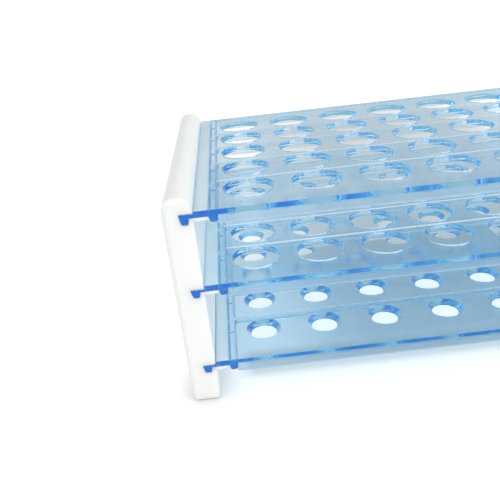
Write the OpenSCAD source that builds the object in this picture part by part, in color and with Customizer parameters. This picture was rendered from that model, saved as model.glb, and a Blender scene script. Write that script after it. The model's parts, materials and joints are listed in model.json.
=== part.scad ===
// Three-tier test tube rack: three clear shelves that slide into two end panels.
// Frame: X runs along the rack, Y front to back (front is -Y), Z up from the soles of the feet.

/* [Tube grid] */
// Tube positions along the rack
columns = 10; // [4:1:12]
// Tube positions from front to back
rows = 5; // [3:1:6]
// Spacing of the tube positions along the rack
column_pitch = 23.5; // [21:0.5:27]
// Spacing of the tube positions from front to back
row_pitch = 21.5; // [20.5:0.5:26]
// Diameter of the tube holes in the top and middle shelves
tube_hole_d = 17; // [13:0.5:18]
// Mouth of the conical seats in the bottom shelf
seat_mouth_d = 13.2; // [12:0.2:16]
// Exit of the conical seats in the bottom shelf
seat_exit_d = 9.8; // [6:0.2:11]
// Height of the straight exit under each seat's cone
seat_land = 0.6; // [0.4:0.1:1]

/* [Shelves] */
// Thickness of every shelf plate
plate_t = 2.2; // [1.8:0.1:3]
// Distance from the front row's centres to the front edge
front_margin = 18; // [14:0.5:24]
// Distance from the end column's centres to the end panel
end_margin = 18.8; // [17:0.1:24]
// Height of the skirts along the front and back edges
skirt_h = 5; // [3:0.1:6]
// Thickness of the skirts
skirt_t = 1.6; // [1.2:0.1:2.4]
// Thickness of the ribs between the rows
divider_t = 2; // [0.8:0.1:2.6]
// How far the ribs between the rows hang below the plate
divider_drop = 1.8; // [0.8:0.1:2.6]
// Rounding of the tube hole rims
rim = 0.6; // [0.2:0.1:1]
// Height of the top shelf's upper face
top_z = 74.8; // [70:0.1:90]
// Height of the middle shelf's upper face
middle_z = 48; // [46:0.1:60]
// Height of the bottom shelf's upper face
bottom_z = 16.9; // [16:0.1:18]

/* [Shelf hooks] */
// Thickness of the top shelf's tongues
top_tongue_t = 1.4; // [0.8:0.1:1.6]
// Thickness of the other shelves' tongues
low_tongue_t = 0.8; // [0.6:0.1:1.6]
// How far the hooks hang below the plate
hook_drop = 2.1; // [1.5:0.1:3]
// How far the end ribs hang below the plate
end_rib_drop = 1.95; // [1.5:0.05:3]
// Play between a shelf and the end panels
play = 0.15; // [0.1:0.05:0.25]

/* [End panels] */
// Thickness of the end panels
panel_t = 10; // [9:0.5:12]
// Height of the web's lower edge above the ground
web_low_z = 6.9; // [4:0.1:9]
// Depth of the recess in the outer face
recess = 2.2; // [1:0.1:2.6]
// Length of the feet from front to back
foot_l = 9.5; // [8:0.5:16]
// Width of the flat on the front and back posts
post_l = 5.5; // [4:0.5:10]
// Thickness of the ledges under the shelves
ledge_t = 1; // [0.8:0.1:1.6]

/* [Carrying handle] */
// Distance from the slot to the front and back of the panel
slot_margin = 22; // [18:0.5:32]
// Lower edge of the slot
slot_low_z = 18.5; // [18.5:0.1:22]
// Upper edge of the slot
slot_high_z = 41; // [36:0.1:41.5]

/* [Hidden] */

$fn = 64;
CUT = 1;                    // how far a cutter runs past what it cuts
ARC_STEPS = 4;              // chords in a small rounding
CURVE_STEPS = 12;           // chords in the recess's soft edge

depth = (rows - 1) * row_pitch + 2 * front_margin;
inner_x = (columns - 1) / 2 * column_pitch + end_margin;   // the end panel's inner face
outer_x = inner_x + panel_t;                               // the end panel's outer face
plate_x = inner_x - 0.2;                                   // the shelf plate's end
crown_r = panel_t / 2;                                     // half-round top of the end panel
panel_h = top_z + 4.9;

// Hook and end rib: distances from the end panel's inner face, positive into the panel
hook_near = 1.4;
hook_far = 4.55;
hook_low_near = 1.8;
hook_low_far = 3.8;
end_rib_near = -4.9;
end_rib_far = -8;
end_rib_low_near = -5.4;
end_rib_low_far = -7.5;
hook_r = 0.6;
ledge_w = -end_rib_near - 0.2;
skirt_x = inner_x + end_rib_low_far - 0.1;

post_outer_r = 1.8;
post_inner_r = 0.6;
foot_r = 1.6;
foot_fillet_r = 3;
top_corner_r = 3;
slot_r = 1.5;
soft_edge = 5;              // width of the recess's soft edge
skirt_r = 1;
mark_d = 1.6;
mark_h = 0.3;
mark_x = inner_x + (end_rib_near + end_rib_far) / 2;

function column_x(i) = (i - (columns - 1) / 2) * column_pitch;
function row_y(j) = (j - (rows - 1) / 2) * row_pitch;

function arc(centre, r, from, to) =
    [for (i = [0 : ARC_STEPS]) let (a = from + (to - from) * i / ARC_STEPS) centre + r * [cos(a), sin(a)]];

// A bar that hangs from height `top` to `-drop`, tapers downwards and has rounded lower corners
function hanging_bar(left, right, low_left, low_right, top, drop) =
    concat([[left, top]],
           arc([low_left + hook_r, hook_r - drop], hook_r, 180, 270),
           arc([low_right - hook_r, hook_r - drop], hook_r, 270, 360),
           [[right, top]]);

// Half a cosine wave, from [0, 0] to [depth, run]
function soft_step(deep, run) =
    [for (i = [0 : CURVE_STEPS]) let (t = i / CURVE_STEPS) [deep * (1 - cos(180 * t)) / 2, run * t]];

module rounded_square(size, r) {
    translate([r, 0]) square([size.x - 2 * r, size.y]);
    translate([0, r]) square([size.x, size.y - 2 * r]);
    for (x = [r, size.x - r], y = [r, size.y - r]) translate([x, y]) circle(r);
}

// Extrudes an XZ outline along Y, centred on y = 0
module along_y(length) {
    rotate([90, 0, 0]) linear_extrude(length, center = true) children();
}

// Extrudes a YZ outline along X, from x = 0
module along_x(length) {
    rotate([90, 0, 90]) linear_extrude(length) children();
}

module both_ends() {
    children();
    mirror([1, 0, 0]) children();
}

// ---- Shelves: z = 0 is the upper face of the plate ----

// Tongue and hook that sit in the end panel's groove, grown by `gap` on every side
module hook_outline(tongue_t, gap) {
    polygon(hanging_bar(hook_near - gap, hook_far + gap, hook_low_near - gap, hook_low_far + gap,
                        tongue_t + gap, hook_drop + gap));
    translate([-1, -gap]) square([hook_near + 1.5, tongue_t + 2 * gap]);
}

module end_rib_outline() {
    polygon(hanging_bar(end_rib_far, end_rib_near, end_rib_low_far, end_rib_low_near,
                        plate_t / 2, end_rib_drop));
}

module shelf_outline(tongue_t) {
    translate([-plate_x, -plate_t]) square([2 * plate_x, plate_t]);
    both_ends() translate([inner_x, -plate_t]) {
        hook_outline(tongue_t, 0);
        end_rib_outline();
    }
}

module skirt() {
    along_y(skirt_t) translate([-skirt_x, -skirt_h]) rounded_square([2 * skirt_x, skirt_h - 0.1], skirt_r);
}

module row_marks() {
    for (j = [0 : rows - 1]) both_ends()
        translate([mark_x, row_y(j), -plate_t / 2]) cylinder(d = mark_d, h = plate_t / 2 + mark_h);
}

module shelf_blank(tongue_t) {
    along_y(depth) shelf_outline(tongue_t);
    for (side = [-1, 1]) translate([0, side * (depth - skirt_t) / 2, 0]) skirt();
    for (j = [0 : rows - 2])
        translate([-skirt_x, row_y(j + 0.5) - divider_t / 2, -plate_t - divider_drop])
            cube([2 * skirt_x, divider_t, divider_drop + plate_t / 2]);
    row_marks();
}

module at_each_tube() {
    for (i = [0 : columns - 1], j = [0 : rows - 1]) translate([column_x(i), row_y(j), 0]) children();
}

module tube_hole() {
    translate([0, 0, -plate_t - CUT]) cylinder(d = tube_hole_d, h = plate_t + 2 * CUT);
    translate([0, 0, -rim]) cylinder(d1 = tube_hole_d, d2 = tube_hole_d + 2 * rim + 0.02, h = rim + 0.01);
}

module tube_seat() {
    cone_h = plate_t - seat_land;
    slope = (seat_mouth_d - seat_exit_d) / cone_h;
    translate([0, 0, -plate_t - CUT]) cylinder(d = seat_exit_d, h = seat_land + CUT);
    translate([0, 0, -cone_h])
        cylinder(d1 = seat_exit_d, d2 = seat_mouth_d + slope * CUT, h = cone_h + CUT);
}

module top_shelf() {
    color("cornflowerblue", 0.6) translate([0, 0, top_z]) difference() {
        shelf_blank(top_tongue_t);
        at_each_tube() tube_hole();
    }
}

module middle_shelf() {
    color("cornflowerblue", 0.6) translate([0, 0, middle_z]) difference() {
        shelf_blank(low_tongue_t);
        at_each_tube() tube_hole();
    }
}

module bottom_shelf() {
    color("cornflowerblue", 0.6) translate([0, 0, bottom_z]) difference() {
        shelf_blank(low_tongue_t);
        at_each_tube() tube_seat();
    }
}

// ---- End panels: x = 0 is the outer face, x = panel_t the inner face ----

module panel_section() {
    translate([crown_r, panel_h - crown_r]) circle(crown_r);
    rounded_square([panel_t, panel_h - crown_r], foot_r);
    translate([0, panel_h / 2]) square([panel_t, panel_h / 2 - crown_r]);
}

module panel_plan() {
    translate([0, -depth / 2]) rounded_square([panel_t * 0.6, depth], post_outer_r);
    translate([panel_t * 0.3, -depth / 2]) rounded_square([panel_t * 0.7, depth], post_inner_r);
}

module foot_fillet() {
    difference() {
        square(foot_fillet_r);
        translate([foot_fillet_r, 0]) circle(foot_fillet_r);
    }
}

// Side view of the panel, with a foot at each end
module panel_side() {
    translate([-depth / 2, web_low_z]) difference() {
        rounded_square([depth, panel_h - web_low_z], top_corner_r);
        translate([-CUT, -CUT]) square([depth + 2 * CUT, top_corner_r + CUT]);
    }
    translate([-depth / 2, web_low_z]) square([depth, top_corner_r]);
    for (side = [0, 1]) mirror([side, 0]) {
        translate([-depth / 2, 0]) rounded_square([foot_l, web_low_z + 2 * foot_r], foot_r);
        translate([foot_l - depth / 2, web_low_z - foot_fillet_r]) foot_fillet();
    }
}

module recess_plan() {
    half = depth / 2 - post_l;
    edge = [for (p = soft_step(recess, soft_edge)) [p.x, p.y - half]];
    far_edge = [for (i = [CURVE_STEPS : -1 : 0]) [edge[i].x, -edge[i].y]];
    polygon(concat([[-CUT, -half]], edge, far_edge, [[-CUT, half]]));
}

module recess_section() {
    high = panel_h - crown_r;
    edge = [for (p = soft_step(recess, soft_edge)) [p.x, high - p.y]];
    polygon(concat([[-CUT, high]], edge, [[recess, -CUT], [-CUT, -CUT]]));
}

module outer_recess() {
    intersection() {
        linear_extrude(panel_h) recess_plan();
        along_y(depth) recess_section();
    }
}

module handle_slot() {
    translate([-CUT, 0, 0]) along_x(panel_t + 2 * CUT)
        translate([slot_margin - depth / 2, slot_low_z])
            rounded_square([depth - 2 * slot_margin, slot_high_z - slot_low_z], slot_r);
}

// Groove for one shelf's tongue and hook, open at the front and the back
module shelf_groove(shelf_z, tongue_t) {
    translate([panel_t, 0, shelf_z - plate_t]) along_y(depth + 2 * CUT)
        mirror([1, 0]) hook_outline(tongue_t, play);
}

module ledge(shelf_z) {
    translate([panel_t - CUT, -depth / 2, shelf_z - plate_t - play - ledge_t])
        cube([ledge_w + CUT, depth, ledge_t]);
}

module end_panel() {
    difference() {
        union() {
            intersection() {
                along_y(depth + CUT) panel_section();
                linear_extrude(panel_h + CUT) panel_plan();
                along_x(panel_t) panel_side();
            }
            for (z = [top_z, middle_z, bottom_z]) ledge(z);
        }
        outer_recess();
        handle_slot();
        shelf_groove(top_z, top_tongue_t);
        shelf_groove(middle_z, low_tongue_t);
        shelf_groove(bottom_z, low_tongue_t);
    }
}

module left_end_panel() {
    color("white") translate([-outer_x, 0, 0]) end_panel();
}

module right_end_panel() {
    color("white") translate([outer_x, 0, 0]) rotate([0, 0, 180]) end_panel();
}

left_end_panel();
right_end_panel();
top_shelf();
middle_shelf();
bottom_shelf();
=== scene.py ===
"""Looks of the test tube rack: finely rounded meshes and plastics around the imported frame."""
import json
import math

import bmesh
import bpy
from mathutils import Matrix, Vector


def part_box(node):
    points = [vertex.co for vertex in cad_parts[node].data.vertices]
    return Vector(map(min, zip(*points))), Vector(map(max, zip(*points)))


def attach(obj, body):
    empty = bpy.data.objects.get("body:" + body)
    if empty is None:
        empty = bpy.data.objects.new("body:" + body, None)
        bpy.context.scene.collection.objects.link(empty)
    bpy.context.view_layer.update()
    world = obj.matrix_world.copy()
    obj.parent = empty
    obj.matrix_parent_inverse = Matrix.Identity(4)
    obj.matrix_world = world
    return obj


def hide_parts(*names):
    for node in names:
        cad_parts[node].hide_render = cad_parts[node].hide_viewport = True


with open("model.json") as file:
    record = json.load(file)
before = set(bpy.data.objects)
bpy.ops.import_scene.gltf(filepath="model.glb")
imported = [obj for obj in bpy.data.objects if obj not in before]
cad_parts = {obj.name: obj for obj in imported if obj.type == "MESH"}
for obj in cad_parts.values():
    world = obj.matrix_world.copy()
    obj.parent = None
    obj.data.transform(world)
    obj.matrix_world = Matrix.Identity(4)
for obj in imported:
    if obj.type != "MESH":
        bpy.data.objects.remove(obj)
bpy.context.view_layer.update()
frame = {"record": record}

# ---- Sizes in millimetres. Everything that the frame can give comes from the frame. ----
MM = 0.001
PAST = 1.0                  # how far a cutter reaches past what it cuts
OVERLAP = 0.5               # how far parts reach into each other before they are joined
WELD = 0.002                # points closer than this become one

PLATE_T = 2.2
SKIRT_H = 5.0
SKIRT_T = 1.6
SKIRT_R = 1.0
DIVIDER_T = 2.0
BAY_R = 1.2                 # rounding of the corners between the ribs
BAY_END = 0.25              # how far a bay's end lies inside the end rib
BAY_CUT = 9.0               # how far down the cutter of a bay reaches
DIVIDER_DROP = 1.8
DIVIDER_END = 0.4           # how far the ribs between the rows reach into the skirts
RIM_R = 0.6                 # rounding of the tube holes' upper rims
UNDER_RIM_R = 0.25
SEAT_MOUTH_R = 6.6
SEAT_EXIT_R = 4.9
SEAT_LAND = 0.6             # straight exit under each seat's cone
SEAT_EXIT_RIM = 0.12
SEAT_MOUTH_RIM = ((-0.3, -0.3), (-0.1, -0.12), (0.1, -0.03), (0.3, 0))      # outwards, upwards
MARK_R = 0.8
MARK_H = 0.3
MARK_STEPS = 24
PLATE_GAP = 0.2             # between a plate's end and the end panel
PLATE_END_R = 0.25
CORNER_R = 0.15             # where bars meet the plate

TOP_TONGUE_T = 1.4
LOW_TONGUE_T = 0.8
HOOK = dict(near=1.4, far=4.55, low_near=1.8, low_far=3.8, drop=2.1, r=0.6)
END_RIB = dict(near=4.9, far=8.0, low_near=5.4, low_far=7.5, drop=1.95, r=0.6)
PLAY = 0.15

PANEL_T = 10.0
EDGE_R = 0.12               # rounding where no other is given
SLOT_LIP_R = 0.9
SLOT_LIP_STEPS = 6
LEDGE_T = 1.0
LEDGE_R = 0.3
LEDGE_ROOT = 2.0            # how far a ledge starts inside the panel
LEDGE_INSET = 0.02          # keeps a ledge's end off the panel's front and back faces
LEDGE_W = END_RIB["near"] - 0.2
FOOT_L = 9.5
FOOT_OUTER_R = 3.0
FOOT_INNER_R = 1.5
FOOT_END_R = 1.6            # seen from the panel's outer side
HAIR = 0.01                 # keeps two points of the feet's outline apart
FOOT_FILLET_R = 3.0
WEB_LOW_Z = 6.9
POST_L = 5.5
POST_R = 1.8
POST_INNER_R = 0.5
TOP_CORNER_R = 3.0
RECESS = 2.2
RECESS_EDGE = 5.0
SLOT = dict(margin=22.0, low=18.5, high=41.0, r=1.5)

HOLE_STEPS = 72
ARC_STEPS = 5
CURVE_STEPS = 24
FINE_STEPS = 8
SHARP_ANGLE = math.radians(40)


def box_mm(node):
    low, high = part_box(node)
    return low / MM, high / MM


left_low, left_high = box_mm("left_end_panel")
HALF_DEPTH = left_high.y
PANEL_H = left_high.z
OUTER_X = -left_low.x
INNER_X = OUTER_X - PANEL_T
PLATE_X = INNER_X - PLATE_GAP
SKIRT_X = INNER_X - END_RIB["low_far"] - 0.1
SHELF_Z = {n: box_mm(n)[0].z + SKIRT_H for n in ("top_shelf", "middle_shelf", "bottom_shelf")}
TONGUE_T = {"top_shelf": TOP_TONGUE_T, "middle_shelf": LOW_TONGUE_T, "bottom_shelf": LOW_TONGUE_T}

tubes = [m for m in frame["record"]["mounts"] if m["name"].startswith("tube_")]
TUBE_R = tubes[0]["dims"]["r_mm"]
CENTRES = [(m["pos_m"][0] / MM, m["pos_m"][1] / MM) for m in tubes]
ROW_Y = sorted({round(y, 3) for x, y in CENTRES})


# ---- Outlines ----
def arc(cx, cy, r, start, end, steps=ARC_STEPS):
    """Points on a circle from start to end degrees."""
    angles = [math.radians(start + (end - start) * i / steps) for i in range(steps + 1)]
    return [(cx + r * math.cos(a), cy + r * math.sin(a)) for a in angles]


def rounded(corners, steps=ARC_STEPS):
    """An outline through (x, y, r) corners, each rounded with its own radius."""
    outline = []
    for i, (x, y, r) in enumerate(corners):
        here = Vector((x, y))
        before = Vector(corners[i - 1][:2]) - here
        after = Vector(corners[(i + 1) % len(corners)][:2]) - here
        if r <= 0:
            outline.append((x, y))
            continue
        before.normalize()
        after.normalize()
        half = before.angle(after) / 2
        centre = here + (before + after).normalized() * (r / math.sin(half))
        first = here + before * (r / math.tan(half)) - centre
        last = here + after * (r / math.tan(half)) - centre
        start = math.atan2(first.y, first.x)
        turn = (math.atan2(last.y, last.x) - start + math.pi) % (2 * math.pi) - math.pi
        for k in range(steps + 1):
            a = start + turn * k / steps
            outline.append((centre.x + r * math.cos(a), centre.y + r * math.sin(a)))
    return outline


def rectangle(x0, y0, x1, y1, r=0.0, steps=ARC_STEPS):
    return rounded([(x0, y0, r), (x1, y0, r), (x1, y1, r), (x0, y1, r)], steps)


def mirrored(half):
    """Closes the +x half of an outline with its mirror image."""
    return half + [(-x, y, *rest) for x, y, *rest in reversed(half)]


# ---- Mesh tools ----
AXES = {
    "x": lambda u, v, w: (w, u, v),     # a YZ outline
    "y": lambda u, v, w: (u, w, v),     # an XZ outline
    "z": lambda u, v, w: (u, v, w),     # an XY outline
}


def new_object(name, bm):
    bmesh.ops.recalc_face_normals(bm, faces=bm.faces)
    mesh = bpy.data.meshes.new(name)
    bm.to_mesh(mesh)
    bm.free()
    piece = bpy.data.objects.new(name, mesh)
    bpy.context.scene.collection.objects.link(piece)
    return piece


def loft(name, outlines, axis):
    """A closed solid through (outline, place along the axis) pairs with the same number of points."""
    bm = bmesh.new()
    place = AXES[axis]
    rings = [[bm.verts.new(place(u, v, w)) for u, v in outline] for outline, w in outlines]
    bm.faces.new(rings[0])
    bm.faces.new(rings[-1])
    for low, high in zip(rings, rings[1:]):
        for i in range(len(low)):
            j = (i + 1) % len(low)
            bm.faces.new((low[i], low[j], high[j], high[i]))
    return new_object(name, bm)


def prism(name, outline, axis, low, high):
    """A closed prism of a flat outline, along an axis from low to high."""
    return loft(name, [(outline, low), (outline, high)], axis)


def lathes(name, profile, centres, z, steps=HOLE_STEPS):
    """Closed turned solids of one (radius, height) profile around several upright axes."""
    bm = bmesh.new()
    for cx, cy in centres:
        rings = []
        for r, h in profile:
            turn = [2 * math.pi * k / steps for k in range(steps)]
            rings.append([bm.verts.new((cx + r * math.cos(a), cy + r * math.sin(a), z + h))
                          for a in turn])
        bm.faces.new(rings[0])
        bm.faces.new(rings[-1])
        for low, high in zip(rings, rings[1:]):
            for k in range(steps):
                m = (k + 1) % steps
                bm.faces.new((low[k], low[m], high[m], high[k]))
    return new_object(name, bm)


def apply_modifiers(piece):
    graph = bpy.context.evaluated_depsgraph_get()
    mesh = bpy.data.meshes.new_from_object(piece.evaluated_get(graph))
    piece.modifiers.clear()
    piece.data = mesh
    return piece


def combine(piece, operation, others):
    """Exact union, difference or intersection of piece with each of the others, which are used up."""
    for other in others:
        modifier = piece.modifiers.new("combine", "BOOLEAN")
        modifier.operation = operation
        modifier.solver = "EXACT"
        modifier.object = other
        apply_modifiers(piece)
        bpy.data.objects.remove(other)
    return piece


def soften(piece):
    """Rounds what is still sharp, keeps flat faces flat and leaves the mesh in metres."""
    bm = bmesh.new()
    bm.from_mesh(piece.data)
    bmesh.ops.remove_doubles(bm, verts=bm.verts, dist=WELD)
    bmesh.ops.dissolve_degenerate(bm, edges=bm.edges, dist=WELD)
    bm.to_mesh(piece.data)
    bm.free()
    bevel = piece.modifiers.new("soft_edges", "BEVEL")
    bevel.width = EDGE_R
    bevel.segments = 2
    bevel.limit_method = "ANGLE"
    bevel.angle_limit = SHARP_ANGLE
    bevel.use_clamp_overlap = False
    bevel.miter_outer = "MITER_ARC"
    for polygon in piece.data.polygons:
        polygon.use_smooth = True
    weighted = piece.modifiers.new("flat_faces", "WEIGHTED_NORMAL")
    weighted.keep_sharp = False
    weighted.weight = 100
    apply_modifiers(piece)
    for vertex in piece.data.vertices:
        vertex.co.y = max(-HALF_DEPTH, min(HALF_DEPTH, vertex.co.y))
    piece.data.transform(Matrix.Scale(MM, 4))
    return piece


# ---- Shelves ----
def bar(part, side, z_under):
    """Corners of a hanging bar under a shelf, from its inner to its outer side, on the +x end."""
    x = (lambda d: INNER_X + d) if side == "hook" else (lambda d: INNER_X - d)
    low = z_under - part["drop"]
    inner_first = ("near", "low_near", "low_far") if side == "hook" else ("far", "low_far", "low_near")
    return [(x(part[inner_first[0]]), z_under, CORNER_R),
            (x(part[inner_first[1]]), low, part["r"]),
            (x(part[inner_first[2]]), low, part["r"])]


def shelf_section(z, tongue_t):
    """Outline of a shelf seen from the front: plate, end ribs, tongues and hooks."""
    under = z - PLATE_T
    half = [
        *bar(END_RIB, "rib", under),
        (INNER_X - END_RIB["near"], under, CORNER_R),
        *bar(HOOK, "hook", under),
        (INNER_X + HOOK["far"], under + tongue_t, CORNER_R),
        (PLATE_X, under + tongue_t, CORNER_R),
        (PLATE_X, z, PLATE_END_R),
    ]
    return rounded(mirrored(half))


def hole_profile():
    """A tube hole's cutter: straight bore, rounded rims."""
    under_rim = [(TUBE_R + UNDER_RIM_R - UNDER_RIM_R * math.sin(a),
                  -PLATE_T + UNDER_RIM_R * (1 - math.cos(a)))
                 for a in (math.radians(30 * k) for k in range(4))]
    rim = [(TUBE_R + RIM_R * (1 - math.cos(a)), -RIM_R * (1 - math.sin(a)))
           for a in (math.radians(15 * k) for k in range(7))]
    return [(TUBE_R + UNDER_RIM_R, -PLATE_T - PAST), *under_rim, *rim, (TUBE_R + RIM_R, PAST)]


def seat_profile():
    """A conical seat's cutter: short straight exit, cone, rounded mouth."""
    mouth = [(SEAT_MOUTH_R + out, up) for out, up in SEAT_MOUTH_RIM]
    return [
        (SEAT_EXIT_R + SEAT_EXIT_RIM, -PLATE_T - PAST),
        (SEAT_EXIT_R + SEAT_EXIT_RIM, -PLATE_T),
        (SEAT_EXIT_R, -PLATE_T + SEAT_EXIT_RIM),
        (SEAT_EXIT_R, SEAT_LAND - PLATE_T),
        *mouth,
        (mouth[-1][0], PAST),
    ]


def row_ribs(z):
    """The ribs between the rows: a low slab with a bay cut out under each row, rounded in its corners."""
    middles = [(low + high) / 2 for low, high in zip(ROW_Y, ROW_Y[1:])]
    edge = HALF_DEPTH - SKIRT_T
    fronts = [-edge] + [y + DIVIDER_T / 2 for y in middles]
    backs = [y - DIVIDER_T / 2 for y in middles] + [edge]
    bay_x = INNER_X - END_RIB["far"] + BAY_END
    under = z - PLATE_T
    slab = rectangle(-bay_x - OVERLAP, -edge - DIVIDER_END, bay_x + OVERLAP, edge + DIVIDER_END)
    ribs = prism("ribs", slab, "z", under - DIVIDER_DROP, under + OVERLAP)
    bays = [prism("bay", rectangle(-bay_x, front, bay_x, back, BAY_R), "z", under - BAY_CUT, under)
            for front, back in zip(fronts, backs)]
    return combine(ribs, "DIFFERENCE", bays)


def slice_cells(piece):
    """Splits the big flat faces between the holes, so that none of them runs round a hole."""
    bm = bmesh.new()
    bm.from_mesh(piece.data)
    columns = sorted({round(x, 3) for x, y in CENTRES})
    cuts = [((x, 0, 0), (1, 0, 0)) for x in columns]
    cuts += [(((a + b) / 2, 0, 0), (1, 0, 0)) for a, b in zip(columns, columns[1:])]
    cuts += [((0, (a + b) / 2, 0), (0, 1, 0)) for a, b in zip(ROW_Y, ROW_Y[1:])]
    for point, normal in cuts:
        everything = bm.verts[:] + bm.edges[:] + bm.faces[:]
        bmesh.ops.bisect_plane(bm, geom=everything, dist=1e-4, plane_co=point, plane_no=normal)
    bm.to_mesh(piece.data)
    bm.free()


def row_marks(z):
    """Low round marks on the plate over the end ribs, one at each row's end."""
    mark_x = INNER_X - (END_RIB["near"] + END_RIB["far"]) / 2
    spots = [(side * mark_x, y) for side in (-1, 1) for y in ROW_Y]
    profile = [(MARK_R, -PLATE_T / 2), (MARK_R, MARK_H * 0.5),
               (MARK_R * 0.8, MARK_H * 0.85), (MARK_R * 0.4, MARK_H)]
    return lathes("marks", profile, spots, z, MARK_STEPS)


def skirts(z):
    """The hanging edges along the front and the back."""
    outline = rectangle(-SKIRT_X, z - SKIRT_H, SKIRT_X, z - OVERLAP, SKIRT_R)
    inner = HALF_DEPTH - SKIRT_T
    return [prism("skirt", outline, "y", -HALF_DEPTH, -inner),
            prism("skirt", outline, "y", inner, HALF_DEPTH)]


def shelf(node, profile):
    z = SHELF_Z[node]
    section = shelf_section(z, TONGUE_T[node])
    piece = prism(f"{node}_moulding", section, "y", -HALF_DEPTH, HALF_DEPTH)
    combine(piece, "UNION", [*skirts(z), row_ribs(z)])
    combine(piece, "UNION", [row_marks(z)])
    combine(piece, "DIFFERENCE", [lathes("holes", profile, CENTRES, z)])
    slice_cells(piece)
    soften(piece)
    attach(piece, node)
    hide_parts(node)
    return piece


# ---- End panels, built for the left end and turned half round for the right ----
def panel_section():
    """Outline across the panel's thickness, with a half-round top."""
    r = PANEL_T / 2
    return [*arc(FOOT_OUTER_R, FOOT_OUTER_R, FOOT_OUTER_R, 180, 270, FINE_STEPS),
            *arc(PANEL_T - FOOT_INNER_R, FOOT_INNER_R, FOOT_INNER_R, 270, 360),
            *arc(r, PANEL_H - r, r, 0, 180, CURVE_STEPS)]


def panel_side():
    """Outline of the panel seen from its outer side, with a foot at each end."""
    inner = HALF_DEPTH - FOOT_L
    half = [
        (inner - FOOT_FILLET_R, WEB_LOW_Z, 0),
        (inner - HAIR, WEB_LOW_Z, FOOT_FILLET_R - 2 * HAIR),
        (inner, 0, FOOT_END_R),
        (HALF_DEPTH, 0, FOOT_END_R),
        (HALF_DEPTH, PANEL_H, TOP_CORNER_R),
    ]
    return rounded(mirrored(half), FINE_STEPS)


def soft_step(deep, run):
    """Points of a smooth slope that goes deep within a run."""
    return [(deep * (1 - math.cos(math.pi * t)) / 2, run * t)
            for t in (i / CURVE_STEPS for i in range(CURVE_STEPS + 1))]


def recess_cutter():
    """The shallow hollow of the outer face, with sloping sides and top and open at the bottom."""
    half = HALF_DEPTH - POST_L
    near = [(x, y - half) for x, y in soft_step(RECESS, RECESS_EDGE)]
    plan = [(-PAST, -half)] + near + [(x, -y) for x, y in reversed(near)] + [(-PAST, half)]
    high = PANEL_H - PANEL_T / 2
    upper = [(x, high - y) for x, y in soft_step(RECESS, RECESS_EDGE)]
    section = [(-PAST, high)] + upper + [(RECESS, -PAST), (-PAST, -PAST)]
    cutter = prism("recess", plan, "z", -2 * PAST, PANEL_H)
    side = prism("recess_section", section, "y", -HALF_DEPTH, HALF_DEPTH)
    return combine(cutter, "INTERSECT", [side])


def groove_outline(z, tongue_t):
    """Room for a shelf's tongue and hook, in the panel's own x."""
    under = z - PLATE_T
    low = under - HOOK["drop"] - PLAY
    high = under + tongue_t + PLAY
    corners = [
        (-PAST, under - PLAY, 0),
        (-PAST, high, 0),
        (HOOK["far"] + PLAY, high, CORNER_R),
        (HOOK["low_far"] + PLAY, low, HOOK["r"]),
        (HOOK["low_near"] - PLAY, low, HOOK["r"]),
        (HOOK["near"] - PLAY, under - PLAY, CORNER_R),
    ]
    return rounded([(PANEL_T - depth, height, r) for depth, height, r in corners])


def slot_cutter():
    """The carrying slot, with a rounded lip on the recessed outer face and on the inner face."""
    half = HALF_DEPTH - SLOT["margin"]
    angles = [math.radians(90 * k / SLOT_LIP_STEPS) for k in range(SLOT_LIP_STEPS, -1, -1)]
    lips = [(SLOT_LIP_R * (1 - math.cos(a)), SLOT_LIP_R * (1 - math.sin(a))) for a in angles]
    steps = [(-PAST, SLOT_LIP_R)] + [(RECESS + deep, wide) for wide, deep in lips]
    steps += [(PANEL_T - deep, wide) for wide, deep in reversed(lips)]
    steps += [(PANEL_T + PAST, SLOT_LIP_R)]
    outlines = []
    for x, wide in steps:
        low = SLOT["low"] - wide
        high = SLOT["high"] + wide
        outline = rectangle(-half - wide, low, half + wide, high, SLOT["r"] + wide, FINE_STEPS)
        outlines.append((outline, x))
    return loft("slot", outlines, "x")


def ledge(z):
    """A strip on the panel's inner face, just under a shelf."""
    top = z - PLATE_T - PLAY
    outline = rounded([(PANEL_T - LEDGE_ROOT, top - LEDGE_T, 0),
                       (PANEL_T + LEDGE_W, top - LEDGE_T, LEDGE_R),
                       (PANEL_T + LEDGE_W, top, LEDGE_R),
                       (PANEL_T - LEDGE_ROOT, top, 0)])
    return prism("ledge", outline, "y", -HALF_DEPTH + LEDGE_INSET, HALF_DEPTH - LEDGE_INSET)


def groove(shelf_node):
    outline = groove_outline(SHELF_Z[shelf_node], TONGUE_T[shelf_node])
    return prism("groove", outline, "y", -HALF_DEPTH - 2 * PAST, HALF_DEPTH + 2 * PAST)


def end_panel(node, turned):
    section = panel_section()
    piece = prism(f"{node}_moulding", section, "y", -HALF_DEPTH - PAST, HALF_DEPTH + PAST)
    plan = rounded([(0, -HALF_DEPTH, POST_R), (PANEL_T, -HALF_DEPTH, POST_INNER_R),
                    (PANEL_T, HALF_DEPTH, POST_INNER_R), (0, HALF_DEPTH, POST_R)], FINE_STEPS)
    combine(piece, "INTERSECT", [prism("plan", plan, "z", -PAST, PANEL_H + PAST),
                                 prism("side", panel_side(), "x", -PAST, PANEL_T + PAST)])
    combine(piece, "UNION", [ledge(z) for z in SHELF_Z.values()])
    combine(piece, "DIFFERENCE", [recess_cutter(), slot_cutter(), *(groove(n) for n in SHELF_Z)])
    soften(piece)
    piece.data.transform(Matrix.Translation((-OUTER_X * MM, 0, 0)))
    if turned:
        piece.data.transform(Matrix.Rotation(math.pi, 4, "Z"))
    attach(piece, "end_panels")
    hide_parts(node)
    return piece


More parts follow.
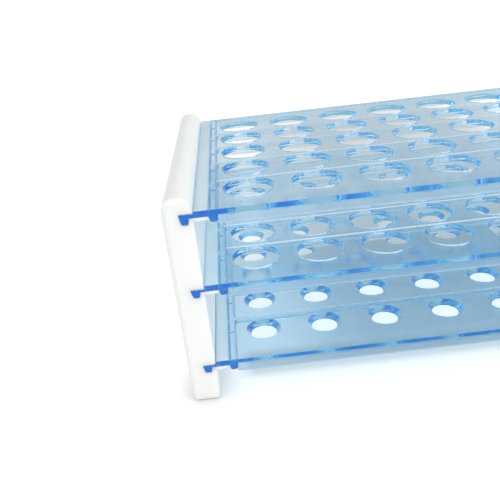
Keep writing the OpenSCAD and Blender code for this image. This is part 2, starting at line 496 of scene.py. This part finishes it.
# ---- Materials ----
PLASTIC_IOR = 1.5
PLATE_TINT = (0.84, 0.93, 0.985, 1)
# painted deeper blue for the plates' front and back edge faces, in place of the deep blue that light
# picks up travelling along a plate
PAINTED_EDGE_BLUE = (0.45, 0.82, 1, 1)
# no tint: painted lightening of a plate where it lies over a white ledge, in place of the light that the
# ledge sends back up
PAINTED_LEDGE_LIGHT = (1, 1, 1, 1)
CLEAR_COLOUR = (0.0, 0.69, 0.965, 1)
CLEAR_DENSITY = 40.0
SCUFF = 0.3                 # how much rougher the skirts' outer faces are
WHITE = (0.91, 0.918, 0.88, 1)
FLOOR_PALE = (0.8, 0.79, 0.78, 1)
FLOOR_SHADED = (0.56, 0.58, 0.58, 1)


def new_material(name):
    material = bpy.data.materials.new(name)
    material.use_nodes = True
    return material, material.node_tree.nodes, material.node_tree.links


def ramp(nodes, links, value, start, end, low=0.0, high=1.0):
    """A smooth step from low to high as the value goes from start to end."""
    step = nodes.new("ShaderNodeMapRange")
    step.interpolation_type = "SMOOTHSTEP"
    for name, number in (("From Min", start), ("From Max", end), ("To Min", low), ("To Max", high)):
        step.inputs[name].default_value = number
    links.new(value, step.inputs["Value"])
    return step.outputs["Result"]


def multiply(nodes, links, *factors):
    """The product of sockets or plain numbers."""
    result = factors[0]
    for factor in factors[1:]:
        product = nodes.new("ShaderNodeMath")
        product.operation = "MULTIPLY"
        links.new(result, product.inputs[0])
        if isinstance(factor, (int, float)):
            product.inputs[1].default_value = factor
        else:
            links.new(factor, product.inputs[1])
        result = product.outputs[0]
    return result


def combine_math(nodes, links, operation, first, second):
    """The result of a maths node on two sockets."""
    result = nodes.new("ShaderNodeMath")
    result.operation = operation
    links.new(first, result.inputs[0])
    links.new(second, result.inputs[1])
    return result.outputs[0]


def link_noise(nodes, links, scale, detail, low, high):
    """Smooth random values between low and high, by place on the object, scale in waves per metre."""
    place = nodes.new("ShaderNodeTexCoord")
    noise = nodes.new("ShaderNodeTexNoise")
    noise.inputs["Scale"].default_value = scale
    noise.inputs["Detail"].default_value = detail
    spread = nodes.new("ShaderNodeMapRange")
    spread.inputs["From Min"].default_value = 0.3
    spread.inputs["From Max"].default_value = 0.7
    spread.inputs["To Min"].default_value = low
    spread.inputs["To Max"].default_value = high
    links.new(place.outputs["Object"], noise.inputs["Vector"])
    links.new(noise.outputs["Fac"], spread.inputs["Value"])
    return spread.outputs["Result"]


def link_bump(nodes, links, height, distance):
    bump = nodes.new("ShaderNodeBump")
    bump.inputs["Strength"].default_value = 1.0
    bump.inputs["Distance"].default_value = distance
    links.new(height, bump.inputs["Height"])
    return bump


def shelf_faces(nodes, links):
    """Two masks of a shelf's front and back faces: all of them, and only the skirts."""
    place = nodes.new("ShaderNodeTexCoord")
    share = nodes.new("ShaderNodeSeparateXYZ")
    links.new(place.outputs["Generated"], share.inputs[0])
    rise = (SKIRT_H - PLATE_T) / (SKIRT_H + MARK_H)
    low = ramp(nodes, links, share.outputs["Z"], rise - 0.03, rise, 1, 0)
    front = ramp(nodes, links, share.outputs["Y"], 0.002, 0.004, 1, 0)
    back = ramp(nodes, links, share.outputs["Y"], 0.996, 0.998)
    span = 2 * (INNER_X + HOOK["far"])
    reach = (INNER_X + HOOK["far"] - SKIRT_X) / span
    start = ramp(nodes, links, share.outputs["X"], reach, reach + 0.001)
    end = ramp(nodes, links, share.outputs["X"], 1 - reach - 0.001, 1 - reach, 1, 0)
    faces = combine_math(nodes, links, "MAXIMUM", front, back)
    return faces, multiply(nodes, links, faces, low, start, end)


def mix_tints(nodes, links, share, first, second):
    """From the first to the second tint, sockets or plain colours, as share goes from 0 to 1."""
    tint = nodes.new("ShaderNodeMix")
    tint.data_type = "RGBA"
    links.new(share, tint.inputs["Factor"])
    for name, colour in (("A", first), ("B", second)):
        if isinstance(colour, tuple):
            tint.inputs[name].default_value = colour
        else:
            links.new(colour, tint.inputs[name])
    return tint.outputs["Result"]


def shelf_tint_and_painted_light(nodes, links, rims):
    """Blue tint with painted light: a painted deeper blue on the rims (the front and back edge faces),
    and no tint where the shelves lie on the end panels' ledges, a painted lightening for the light that
    the white ledges send back.
    """
    place = nodes.new("ShaderNodeTexCoord")
    axes = nodes.new("ShaderNodeSeparateXYZ")
    distance = nodes.new("ShaderNodeMath")
    distance.operation = "ABSOLUTE"
    links.new(place.outputs["Object"], axes.inputs[0])
    links.new(axes.outputs["X"], distance.inputs[0])
    rib_x = INNER_X - END_RIB["near"]
    # painted lightening: the tint fades out over the ledges
    painted_light_over_ledge = ramp(nodes, links, distance.outputs[0], (rib_x - 0.8) * MM, (rib_x + 0.2) * MM)
    plate = mix_tints(nodes, links, rims, PLATE_TINT, PAINTED_EDGE_BLUE)
    return mix_tints(nodes, links, painted_light_over_ledge, plate, PAINTED_LEDGE_LIGHT)


def clear_blue_plastic():
    """Clear, blue-tinted moulded plastic: pale across its thickness, deep blue along it, with painted
    deeper blue on the plates' edge faces and painted lightening over the end panels' ledges.
    """
    material, nodes, links = new_material("clear_blue_plastic")
    shader = nodes["Principled BSDF"]
    faces, skirt_faces = shelf_faces(nodes, links)
    # painted deeper blue: mask of the front and back faces above the skirts
    rims = combine_math(nodes, links, "SUBTRACT", faces, skirt_faces)
    links.new(shelf_tint_and_painted_light(nodes, links, rims), shader.inputs["Base Color"])
    shader.inputs["Transmission Weight"].default_value = 1.0
    shader.inputs["IOR"].default_value = PLASTIC_IOR
    polish = link_noise(nodes, links, scale=70, detail=3, low=0.07, high=0.11)
    scuffs = multiply(nodes, links, skirt_faces, SCUFF)
    links.new(combine_math(nodes, links, "ADD", polish, scuffs), shader.inputs["Roughness"])
    waves = link_noise(nodes, links, scale=45, detail=1, low=0, high=1)
    flow = link_bump(nodes, links, waves, 0.00003)
    links.new(flow.outputs["Normal"], shader.inputs["Normal"])
    volume = nodes.new("ShaderNodeVolumeAbsorption")
    volume.inputs["Color"].default_value = CLEAR_COLOUR
    volume.inputs["Density"].default_value = CLEAR_DENSITY
    links.new(volume.outputs[0], nodes["Material Output"].inputs["Volume"])
    return material


def white_plastic():
    """Satin white moulded plastic with a fine grain."""
    material, nodes, links = new_material("white_plastic")
    shader = nodes["Principled BSDF"]
    shader.inputs["Base Color"].default_value = WHITE
    shader.inputs["Subsurface Weight"].default_value = 0.8
    shader.inputs["Subsurface Scale"].default_value = 0.004
    shader.inputs["Subsurface Radius"].default_value = (1, 1, 1)
    shader.inputs["IOR"].default_value = PLASTIC_IOR
    satin = link_noise(nodes, links, scale=120, detail=4, low=0.28, high=0.42)
    links.new(satin, shader.inputs["Roughness"])
    grains = link_noise(nodes, links, scale=1800, detail=2, low=0, high=1)
    grain = link_bump(nodes, links, grains, 0.000008)
    links.new(grain.outputs["Normal"], shader.inputs["Normal"])
    return material


# ---- Build ----
def dress(pieces, material):
    for piece in pieces:
        piece.data.materials.clear()
        piece.data.materials.append(material)


clear_blue = clear_blue_plastic()
white = white_plastic()
dress([shelf("top_shelf", hole_profile()), shelf("middle_shelf", hole_profile()),
       shelf("bottom_shelf", seat_profile())], clear_blue)
dress([end_panel("left_end_panel", False), end_panel("right_end_panel", True)], white)


# ---- Stage, in metres ----
FLOOR_SIZE = 60
RACK_MIDDLE = Vector((0, 0, 0.04))
CLEAR_BOUNCES = 100
CAMERA_LENS = 41.74
CAMERA_TILT = math.radians(25.805)
CAMERA_TURN = math.radians(0.354)
CAMERA_ROLL = math.radians(-6.376)
CAMERA_FROM_FIRST_HOLE = (-3.07, -187.55, 66.56)        # in millimetres


def zone(nodes, links, left, right, front, back):
    """1 inside a soft-edged rectangle on the floor; each side is given as two places, in metres."""
    place = nodes.new("ShaderNodeTexCoord")
    axes = nodes.new("ShaderNodeSeparateXYZ")
    links.new(place.outputs["Object"], axes.inputs[0])
    x, y = axes.outputs["X"], axes.outputs["Y"]
    return multiply(nodes, links, ramp(nodes, links, x, *left), ramp(nodes, links, x, *right, 1, 0),
                    ramp(nodes, links, y, *front), ramp(nodes, links, y, *back, 1, 0))


def floor_shade(nodes, links, seen):
    """Shade on the floor: soft behind the rack and under its skirts, and where its plates cover it."""
    behind = zone(nodes, links, left=(-0.16, -0.02), right=(0.08, 0.14),
                  front=(0.014, 0.03), back=(0.3, 0.4))
    below_skirt = zone(nodes, links, left=(-0.12, -0.11), right=(0.11, 0.12),
                       front=(-0.055, -0.046), back=(-0.041, -0.032))
    below_plate = zone(nodes, links, left=(-0.115, -0.03), right=(0.11, 0.12),
                       front=(-0.04, -0.03), back=(0.014, 0.03))
    skirt_share = ramp(nodes, links, seen, 0, 1, 1, 0.7)
    plate_share = ramp(nodes, links, seen, 0, 1, 0.6, 0)
    below = combine_math(nodes, links, "MAXIMUM", multiply(nodes, links, below_skirt, skirt_share),
                         multiply(nodes, links, below_plate, plate_share))
    return combine_math(nodes, links, "MAXIMUM", behind, below)


def floor_material():
    """A white photo table that the camera sees glow, with soft shade behind and under the rack."""
    material, nodes, links = new_material("floor")
    shader = nodes["Principled BSDF"]
    shader.inputs["Roughness"].default_value = 0.9
    shader.inputs["Emission Color"].default_value = (1, 1, 1, 1)
    seen = nodes.new("ShaderNodeLightPath").outputs["Is Camera Ray"]
    shade = floor_shade(nodes, links, seen)
    # painted shade under the rack: the glow that rays other than the camera's see fades out there
    under = zone(nodes, links, left=(-0.12, -0.05), right=(0.12, 0.15),
                 front=(-0.08, -0.06), back=(0.05, 0.08))
    # painted contact shade: the glow darkens where parts stand close over the floor
    contact = nodes.new("ShaderNodeAmbientOcclusion")
    contact.inputs["Distance"].default_value = 0.012
    tint = mix_tints(nodes, links, shade, FLOOR_PALE, FLOOR_SHADED)
    links.new(tint, shader.inputs["Base Color"])
    glow = nodes.new("ShaderNodeMix")
    links.new(seen, glow.inputs["Factor"])
    links.new(ramp(nodes, links, under, 0, 1, 0.25, 0), glow.inputs["A"])
    glow.inputs["B"].default_value = 0.43
    lit = ramp(nodes, links, shade, 0, 1, 1, 0.35)
    corner = multiply(nodes, links, contact.outputs["AO"], contact.outputs["AO"])
    strength = multiply(nodes, links, glow.outputs["Result"], lit, corner)
    links.new(strength, shader.inputs["Emission Strength"])
    return material


def area_light(name, place, size, energy):
    """A square light that points at the middle of the rack."""
    light = bpy.data.lights.new(name, "AREA")
    light.size = size
    light.energy = energy
    lamp = bpy.data.objects.new(name, light)
    lamp.location = place
    aim = RACK_MIDDLE - Vector(place)
    lamp.rotation_euler = aim.to_track_quat("-Z", "Y").to_euler()
    bpy.context.scene.collection.objects.link(lamp)


def dimmer(nodes, links, direction, near, far, amount):
    """A factor that falls from 1 to 1 - amount as a ray turns towards a direction."""
    way = nodes.new("ShaderNodeTexCoord")
    dot = nodes.new("ShaderNodeVectorMath")
    dot.operation = "DOT_PRODUCT"
    dot.inputs[1].default_value = Vector(direction).normalized()
    links.new(way.outputs["Generated"], dot.inputs[0])
    return ramp(nodes, links, dot.outputs["Value"], near, far, 1, 1 - amount)


def studio_world():
    """Bright soft surroundings, brightest above, a little dimmer behind the rack and low on its left."""
    world = bpy.data.worlds.new("studio")
    world.use_nodes = True
    nodes, links = world.node_tree.nodes, world.node_tree.links
    behind = dimmer(nodes, links, (0, 1, 0.35), near=0.5, far=0.95, amount=0.1)
    left = dimmer(nodes, links, (-1, 0.2, -0.1), near=0.7, far=0.97, amount=0.45)
    above = dimmer(nodes, links, (0, 0, 1), near=0.4, far=0.9, amount=-0.55)
    strength = multiply(nodes, links, behind, left, above)
    links.new(strength, nodes["Background"].inputs["Strength"])
    nodes["Background"].inputs["Color"].default_value = (0.68, 0.69, 0.7, 1)
    return world


def studio():
    scene = bpy.context.scene
    scene.view_settings.view_transform = "Standard"
    scene.cycles.max_bounces = CLEAR_BOUNCES
    scene.cycles.transmission_bounces = CLEAR_BOUNCES
    scene.cycles.glossy_bounces = CLEAR_BOUNCES
    scene.cycles.blur_glossy = 0
    scene.world = studio_world()
    bpy.ops.mesh.primitive_plane_add(size=FLOOR_SIZE, location=(0, 0, 0))
    floor = bpy.context.object
    floor.name = "floor"
    floor.data.materials.append(floor_material())
    area_light("fill", place=(0.95, -0.8, 0.32), size=1.0, energy=6.8)


def camera():
    """A close view of the rack's left half from the front, seen slightly from above and tilted."""
    data = bpy.data.cameras.new("camera")
    data.sensor_width = 36
    data.lens = CAMERA_LENS
    data.clip_start = 0.01
    forward = Vector((math.sin(CAMERA_TURN) * math.cos(CAMERA_TILT),
                      math.cos(CAMERA_TURN) * math.cos(CAMERA_TILT), -math.sin(CAMERA_TILT)))
    right = Vector((math.cos(CAMERA_TURN), -math.sin(CAMERA_TURN), 0))
    up = right.cross(forward)
    across = math.cos(CAMERA_ROLL) * right + math.sin(CAMERA_ROLL) * up
    above = -math.sin(CAMERA_ROLL) * right + math.cos(CAMERA_ROLL) * up
    eye = bpy.data.objects.new("camera", data)
    turned = Matrix((across, above, -forward)).transposed().to_4x4()
    first_hole = (*min(CENTRES), SHELF_Z["top_shelf"])
    place = Vector([hole + away for hole, away in zip(first_hole, CAMERA_FROM_FIRST_HOLE)]) * MM
    eye.matrix_world = Matrix.Translation(place) @ turned
    bpy.context.scene.collection.objects.link(eye)
    bpy.context.scene.camera = eye


studio()
camera()
